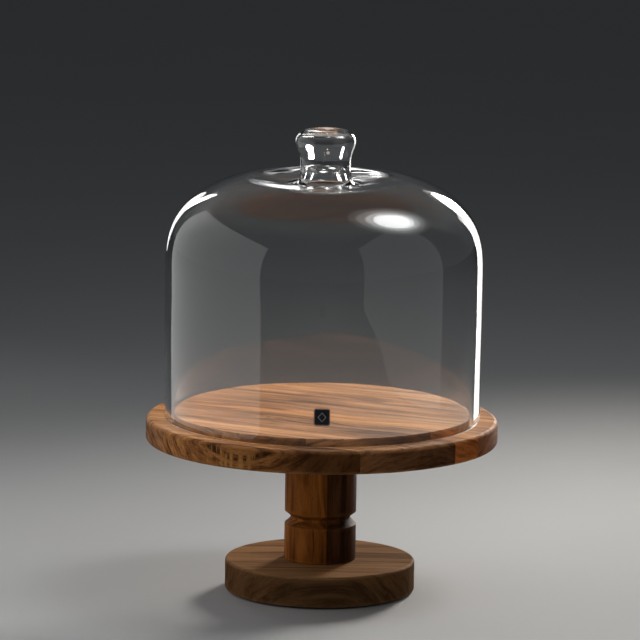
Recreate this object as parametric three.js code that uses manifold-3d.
// Glass cake dome on a turned wooden pedestal stand.
//
// Millimetres, +Z up. The origin is the centre of the base on the surface it stands on,
// and -Y is the front, where the glass carries its small label.
//
// The stand: a round plate glued up from staves, with a raised middle and a lower ledge round it,
// on a turned column and a round base, screwed together from inside.
// The dome: a blown bell that rests on the ledge. Its crown sinks round a hollow neck, and a solid knob
// is fused on top of the neck.

import * as THREE from 'three';
import { mergeVertices } from 'three/addons/utils/BufferGeometryUtils.js';
import Module from 'manifold-3d';

const wasm = await Module();
wasm.setup();

// ---------------------------------------------------------------- driving dimensions

const PAD = { radius: 8, thickness: 1.5, circleRadius: 62, count: 4 };

const BASE = { radius: 81, thickness: 26, topRound: 2.4, bottomRound: 1.5 };
const BASE_BOTTOM = PAD.thickness;
const BASE_TOP = BASE_BOTTOM + BASE.thickness;

const COLUMN = { radius: 30.5, top: 130, endChamfer: 0.8, glueLineX: 5.5 };
const GROOVE = { lowerLip: 58.3, middle: 63.8, upperLip: 69, radius: 25.4, halfFlat: 1.2 };

const PLATE = { radius: 150, ledgeHeight: 20, topRound: 4, bottomRound: 3 };
const PLATE_BOTTOM = COLUMN.top;
const LEDGE = PLATE_BOTTOM + PLATE.ledgeHeight;
const RAISED_DISC = { radius: 126, step: 6.5, edgeBreak: 0.5 };

// Glue lines across the plate, measured from its centre, and the way that the staves run.
const STAVE_GLUE_LINES = [-119, -43, -10, 48, 98];
const STAVE_TURN = THREE.MathUtils.degToRad(-25);

const DOME = {
  rimRadius: 134.4,
  wallRadius: 135.3,
  shoulderStart: 273.5,
  crownHeight: 89.4,
  wallThickness: 6.5,
  crownThickness: 4.8,
  acrossPower: 2.58,
  upPower: 2.87,
  sinkDepth: 13,
  sinkReach: 48,
};
const NECK = { radius: 21.9, fillet: 7, top: 372, hollowRadius: 15, hollowHeight: 23.2 };
const KNOB_TOP = 398;
const LABEL = { width: 13.4, height: 14.2, corner: 2, thickness: 0.5, centreHeight: 176 };

const DOWEL = { radius: 4, offset: 16, inBase: 13, inColumn: 16, endChamfer: 0.8 };
const SCREW = { shankRadius: 3, headRadius: 6, headHeight: 3.5, top: 59.5, tip: 6, socketRadius: 2.6, socketDepth: 2 };
const WASHER = { radius: 9, holeRadius: 3.3, thickness: 1.5 };
const COUNTERBORE = { radius: 9.5, depth: 8 };
const STUD = { radius: 4, bottom: 100, top: 143, tip: 5 };
const INSERT = { radius: 6, length: 15, flangeRadius: 8.5, flangeThickness: 1.5, boreRadius: 4.3 };

const GAP = 0.3;
const GLUE_GAP = 0.3;
const SEAT_GAP = 0.05;

const ROUND = { large: 64, medium: 40, small: 20 };

// ---------------------------------------------------------------- finishes

const glass = new THREE.MeshStandardMaterial({ color: 0xdfe6e8, roughness: 0.03, metalness: 0 });
const labelBlack = new THREE.MeshStandardMaterial({ color: 0x101012, roughness: 0.35, metalness: 0 });
const columnWood = new THREE.MeshStandardMaterial({ color: 0x9a6332, roughness: 0.5, metalness: 0 });
const columnDarkWood = new THREE.MeshStandardMaterial({ color: 0x7a4a26, roughness: 0.5, metalness: 0 });
const baseWood = new THREE.MeshStandardMaterial({ color: 0x9b7757, roughness: 0.55, metalness: 0 });
const dowelWood = new THREE.MeshStandardMaterial({ color: 0xd3ae7f, roughness: 0.7, metalness: 0 });
const steel = new THREE.MeshStandardMaterial({ color: 0xb4b6b8, roughness: 0.35, metalness: 1 });
const brass = new THREE.MeshStandardMaterial({ color: 0xc29a50, roughness: 0.35, metalness: 1 });
const padRubber = new THREE.MeshStandardMaterial({ color: 0x202022, roughness: 0.85, metalness: 0 });

// The staves differ in colour, as boards from different trees do.
const staveColours = [0xa87445, 0xc39a70, 0xb5753c, 0xc8a07a, 0xbd8f66, 0xc69c74];

function plateWood(colour) {
  return new THREE.MeshStandardMaterial({ color: colour, roughness: 0.5, metalness: 0 });
}

// ---------------------------------------------------------------- shape helpers

// A turned solid: the profile is a list of [radius, height], running out along the bottom and back over the top.
function turned(profile, segments) {
  const points = profile.map(([radius, height]) => new THREE.Vector2(radius, height));
  return new THREE.LatheGeometry(points, segments).rotateX(Math.PI / 2);
}

// A plain round bar standing on its lower end at the given place.
function bar(radius, bottom, top, segments, x = 0, y = 0) {
  const geometry = new THREE.CylinderGeometry(radius, radius, top - bottom, segments);
  return geometry.rotateX(Math.PI / 2).translate(x, y, (bottom + top) / 2);
}

function block(minX, maxX, minY, maxY, bottom, top) {
  const geometry = new THREE.BoxGeometry(maxX - minX, maxY - minY, top - bottom);
  return geometry.translate((minX + maxX) / 2, (minY + maxY) / 2, (bottom + top) / 2);
}

// Points on a quarter circle about a centre, between two angles in degrees.
function arc(centreRadius, centreHeight, size, from, to, steps) {
  return Array.from({ length: steps + 1 }, (_, i) => {
    const angle = THREE.MathUtils.degToRad(from + ((to - from) * i) / steps);
    return [centreRadius + size * Math.cos(angle), centreHeight + size * Math.sin(angle)];
  });
}

function toManifold(geometry) {
  const bare = geometry.clone();
  bare.deleteAttribute('normal');
  bare.deleteAttribute('uv');
  const merged = mergeVertices(bare, 1e-4);
  const corners = merged.index.array;
  const triangles = [];
  for (let i = 0; i < corners.length; i += 3) {
    const [a, b, c] = [corners[i], corners[i + 1], corners[i + 2]];
    if (a !== b && b !== c && c !== a) triangles.push(a, b, c);
  }
  const mesh = new wasm.Mesh({
    numProp: 3,
    vertProperties: new Float32Array(merged.attributes.position.array),
    triVerts: new Uint32Array(triangles),
  });
  return new wasm.Manifold(mesh);
}

function toGeometry(solid) {
  const mesh = solid.getMesh();
  const geometry = new THREE.BufferGeometry();
  geometry.setAttribute('position', new THREE.BufferAttribute(mesh.vertProperties, 3));
  geometry.setIndex(new THREE.BufferAttribute(mesh.triVerts, 1));
  geometry.computeVertexNormals();
  return geometry;
}

// A solid with some holes cut out of it.
function drilled(geometry, holes) {
  let solid = toManifold(geometry);
  for (const hole of holes) solid = solid.subtract(toManifold(hole));
  return solid;
}

function addPiece(parent, name, geometry, material) {
  const mesh = new THREE.Mesh(geometry, material);
  mesh.name = name;
  parent.add(mesh);
  return mesh;
}

// ---------------------------------------------------------------- the plate

function platePieces() {
  const plate = new THREE.Group();
  plate.position.z = PLATE_BOTTOM;
  plate.rotation.z = STAVE_TURN;

  const { radius, ledgeHeight, topRound, bottomRound } = PLATE;
  const discTop = ledgeHeight + RAISED_DISC.step;
  const disc = turned([
    [0, 0],
    ...arc(radius - bottomRound, bottomRound, bottomRound, -90, 0, 2),
    ...arc(radius - topRound, ledgeHeight - topRound, topRound, 0, 90, 3),
    [RAISED_DISC.radius, ledgeHeight],
    [RAISED_DISC.radius, discTop - RAISED_DISC.edgeBreak],
    [RAISED_DISC.radius - RAISED_DISC.edgeBreak, discTop],
    [0, discTop],
  ], ROUND.large);
  const body = drilled(disc, [
    bar(INSERT.radius + GAP, -1, INSERT.length + GAP, ROUND.small),
    bar(INSERT.flangeRadius + GAP, -1, INSERT.flangeThickness + GAP, ROUND.small),
  ]);

  const edges = [-radius - 1, ...STAVE_GLUE_LINES, radius + 1];
  for (let i = 0; i + 1 < edges.length; i += 1) {
    const strip = block(-radius - 1, radius + 1, edges[i] + GLUE_GAP / 2, edges[i + 1] - GLUE_GAP / 2, -1, discTop + 1);
    const stave = body.intersect(toManifold(strip));
    addPiece(plate, `plate_stave_${i + 1}`, toGeometry(stave), plateWood(staveColours[i]));
  }
  return plate;
}

// ---------------------------------------------------------------- the column and the base

function columnPieces() {
  const column = new THREE.Group();
  const { radius, top, endChamfer, glueLineX } = COLUMN;
  const { lowerLip, middle, upperLip, halfFlat } = GROOVE;
  const turnedColumn = turned([
    [0, BASE_TOP],
    [radius - endChamfer, BASE_TOP],
    [radius, BASE_TOP + endChamfer],
    [radius, lowerLip],
    [GROOVE.radius, middle - halfFlat],
    [GROOVE.radius, middle + halfFlat],
    [radius, upperLip],
    [radius, top],
    [0, top],
  ], ROUND.medium);
  const body = drilled(turnedColumn, [
    bar(STUD.radius + GAP, STUD.bottom - GAP, top + 1, ROUND.small),
    bar(SCREW.shankRadius + GAP, BASE_TOP - 1, SCREW.top + GAP, ROUND.small),
    ...[-1, 1].map((side) =>
      bar(DOWEL.radius + GAP, BASE_TOP - 1, BASE_TOP + DOWEL.inColumn + GAP, ROUND.small, side * DOWEL.offset)),
  ]);

  const reach = radius + 1;
  const left = block(-reach, glueLineX - GLUE_GAP / 2, -reach, reach, BASE_TOP - 1, top + 1);
  const right = block(glueLineX + GLUE_GAP / 2, reach, -reach, reach, BASE_TOP - 1, top + 1);
  addPiece(column, 'column_left_block', toGeometry(body.intersect(toManifold(left))), columnWood);
  addPiece(column, 'column_right_block', toGeometry(body.intersect(toManifold(right))), columnDarkWood);
  return column;
}

function basePieces() {
  const base = new THREE.Group();
  base.position.z = BASE_BOTTOM;
  const { radius, thickness, topRound, bottomRound } = BASE;
  const disc = turned([
    [0, 0],
    ...arc(radius - bottomRound, bottomRound, bottomRound, -90, 0, 1),
    ...arc(radius - topRound, thickness - topRound, topRound, 0, 90, 2),
    [0, thickness],
  ], ROUND.large);
  const body = drilled(disc, [
    bar(COUNTERBORE.radius, -1, COUNTERBORE.depth, ROUND.small),
    bar(SCREW.shankRadius + GAP, COUNTERBORE.depth - 1, thickness + 1, ROUND.small),
    ...[-1, 1].map((side) =>
      bar(DOWEL.radius + GAP, thickness - DOWEL.inBase - GAP, thickness + 1, ROUND.small, side * DOWEL.offset)),
  ]);
  addPiece(base, 'base_disc', toGeometry(body), baseWood);
  return base;
}

function padPieces() {
  const pads = new THREE.Group();
  for (let i = 0; i < PAD.count; i += 1) {
    const angle = ((i + 0.5) / PAD.count) * 2 * Math.PI;
    const pad = addPiece(pads, `pad_${i + 1}`, bar(PAD.radius, 0, PAD.thickness, ROUND.small), padRubber);
    pad.position.x = PAD.circleRadius * Math.cos(angle);
    pad.position.y = PAD.circleRadius * Math.sin(angle);
  }
  return pads;
}

// ---------------------------------------------------------------- what holds the stand together

function fastenerPieces() {
  const fasteners = new THREE.Group();
  const ceiling = BASE_BOTTOM + COUNTERBORE.depth;
  const headTop = ceiling - WASHER.thickness;

  const screw = turned([
    [0, headTop - SCREW.headHeight],
    [SCREW.headRadius - 1, headTop - SCREW.headHeight],
    [SCREW.headRadius, headTop - SCREW.headHeight + 1],
    [SCREW.headRadius, headTop],
    [SCREW.shankRadius, headTop],
    [SCREW.shankRadius, SCREW.top - SCREW.tip],
    [0, SCREW.top],
  ], ROUND.small);
  const socket = bar(SCREW.socketRadius, 0, headTop - SCREW.headHeight + SCREW.socketDepth, 6);
  addPiece(fasteners, 'base_screw', toGeometry(drilled(screw, [socket])), steel);

  const washer = turned([
    [WASHER.holeRadius, headTop],
    [WASHER.radius, headTop],
    [WASHER.radius, ceiling],
    [WASHER.holeRadius, ceiling],
    [WASHER.holeRadius, headTop],
  ], ROUND.small);
  addPiece(fasteners, 'base_washer', washer, steel);

  for (const [name, side] of [['dowel_left', -1], ['dowel_right', 1]]) {
    const { radius, endChamfer, inBase, inColumn } = DOWEL;
    const dowel = addPiece(fasteners, name, turned([
      [0, -inBase],
      [radius - endChamfer, -inBase],
      [radius, endChamfer - inBase],
      [radius, inColumn - endChamfer],
      [radius - endChamfer, inColumn],
      [0, inColumn],
    ], ROUND.small), dowelWood);
    dowel.position.set(side * DOWEL.offset, 0, BASE_TOP);
  }

  addPiece(fasteners, 'column_stud', turned([
    [0, STUD.bottom],
    [STUD.radius, STUD.bottom + STUD.tip],
    [STUD.radius, STUD.top - 1],
    [STUD.radius - 1, STUD.top],
    [0, STUD.top],
  ], ROUND.small), steel);

  const insert = addPiece(fasteners, 'plate_insert', turned([
    [INSERT.boreRadius, 0],
    [INSERT.flangeRadius, 0],
    [INSERT.flangeRadius, INSERT.flangeThickness],
    [INSERT.radius, INSERT.flangeThickness],
    [INSERT.radius, INSERT.length],
    [INSERT.boreRadius, INSERT.length],
    [INSERT.boreRadius, 0],
  ], ROUND.small), brass);
  insert.position.z = PLATE_BOTTOM;
  return fasteners;
}

// ---------------------------------------------------------------- the glass

// Height of a crown surface at a distance from the axis: a quarter of a superellipse, upright where it
// leaves the wall and level at the top, which then sinks towards the neck.
function crownHeightAt(distance, radius, height) {
  const across = (distance / radius) ** DOME.acrossPower;
  const sink = DOME.sinkDepth * Math.exp(-((distance / DOME.sinkReach) ** 4));
  return DOME.shoulderStart + height * (1 - across) ** (1 / DOME.upPower) - sink;
}

// A crown surface from the shoulder in to a distance from the axis.
function crownCurve(radius, height, inTo, steps) {
  const last = Math.acos((inTo / radius) ** (DOME.acrossPower / 2));
  return Array.from({ length: steps + 1 }, (_, i) => {
    const distance = radius * Math.cos((last * i) / steps) ** (2 / DOME.acrossPower);
    return [distance, crownHeightAt(distance, radius, height)];
  });
}

// The round-topped hollow inside the neck, as it runs from the middle out to the underside of the crown.
function neckHollow(radius, height, steps) {
  const { hollowRadius, hollowHeight } = NECK;
  return Array.from({ length: steps }, (_, i) => {
    const distance = ((hollowRadius + 6) * i) / steps;
    const rise = hollowHeight * Math.exp(-((distance / hollowRadius) ** 6));
    return [distance, crownHeightAt(distance, radius, height) + rise];
  });
}

function domeShell() {
  const rimSize = DOME.wallThickness / 2;
  const rimMiddle = DOME.rimRadius - rimSize;
  const seat = LEDGE + SEAT_GAP;
  const innerRadius = DOME.wallRadius - DOME.wallThickness;
  const innerHeight = DOME.crownHeight - DOME.crownThickness;
  const inner = crownCurve(innerRadius, innerHeight, NECK.hollowRadius + 7, 12).reverse();
  const outer = crownCurve(DOME.wallRadius, DOME.crownHeight, NECK.radius + NECK.fillet, 13);
  const filletMiddle = outer.at(-1)[1] + NECK.fillet;
  return turned([
    ...neckHollow(innerRadius, innerHeight, 12),
    ...inner,
    ...arc(rimMiddle, seat + rimSize, rimSize, -180, 0, 4),
    ...outer,
    ...arc(NECK.radius + NECK.fillet, filletMiddle, NECK.fillet, 270, 180, 4).slice(1),
    [NECK.radius, NECK.top],
    [0, NECK.top],
  ], ROUND.large);
}

// The knob: a solid button, widest just under its rounded shoulder, with a slightly dished top.
function domeKnob() {
  return turned([
    [0, NECK.top + GAP],
    [NECK.radius, NECK.top + GAP],
    [22.3, 375.5],
    [23.7, 380],
    [25.4, 384.5],
    [25.8, 387.2],
    [25.3, 390.6],
    [23.4, 394],
    [20, 396.4],
    [15.5, 397.6],
    [11, KNOB_TOP],
    [0, KNOB_TOP - 0.7],
  ], ROUND.medium);
}

// The label: a rounded tile standing against the front of the wall.
function frontLabel() {
  const { width, height, corner, thickness } = LABEL;
  const outline = new THREE.Shape();
  outline.absarc(width / 2 - corner, height / 2 - corner, corner, 0, Math.PI / 2);
  outline.absarc(corner - width / 2, height / 2 - corner, corner, Math.PI / 2, Math.PI);
  outline.absarc(corner - width / 2, corner - height / 2, corner, Math.PI, Math.PI * 1.5);
  outline.absarc(width / 2 - corner, corner - height / 2, corner, Math.PI * 1.5, Math.PI * 2);
  const tile = new THREE.ExtrudeGeometry(outline, { depth: thickness, bevelEnabled: false, curveSegments: 4 });
  return tile.rotateX(Math.PI / 2);
}

function domePieces() {
  const dome = new THREE.Group();
  addPiece(dome, 'dome_shell', domeShell(), glass);
  addPiece(dome, 'dome_knob', domeKnob(), glass);
  const label = addPiece(dome, 'front_label', frontLabel(), labelBlack);
  label.position.set(0, -DOME.wallRadius - GAP, LABEL.centreHeight);
  return dome;
}

// ---------------------------------------------------------------- the whole object

const stand = new THREE.Group();
stand.add(padPieces(), basePieces(), columnPieces(), platePieces(), fastenerPieces());

const group = new THREE.Group();
group.add(stand, domePieces());

export default group;
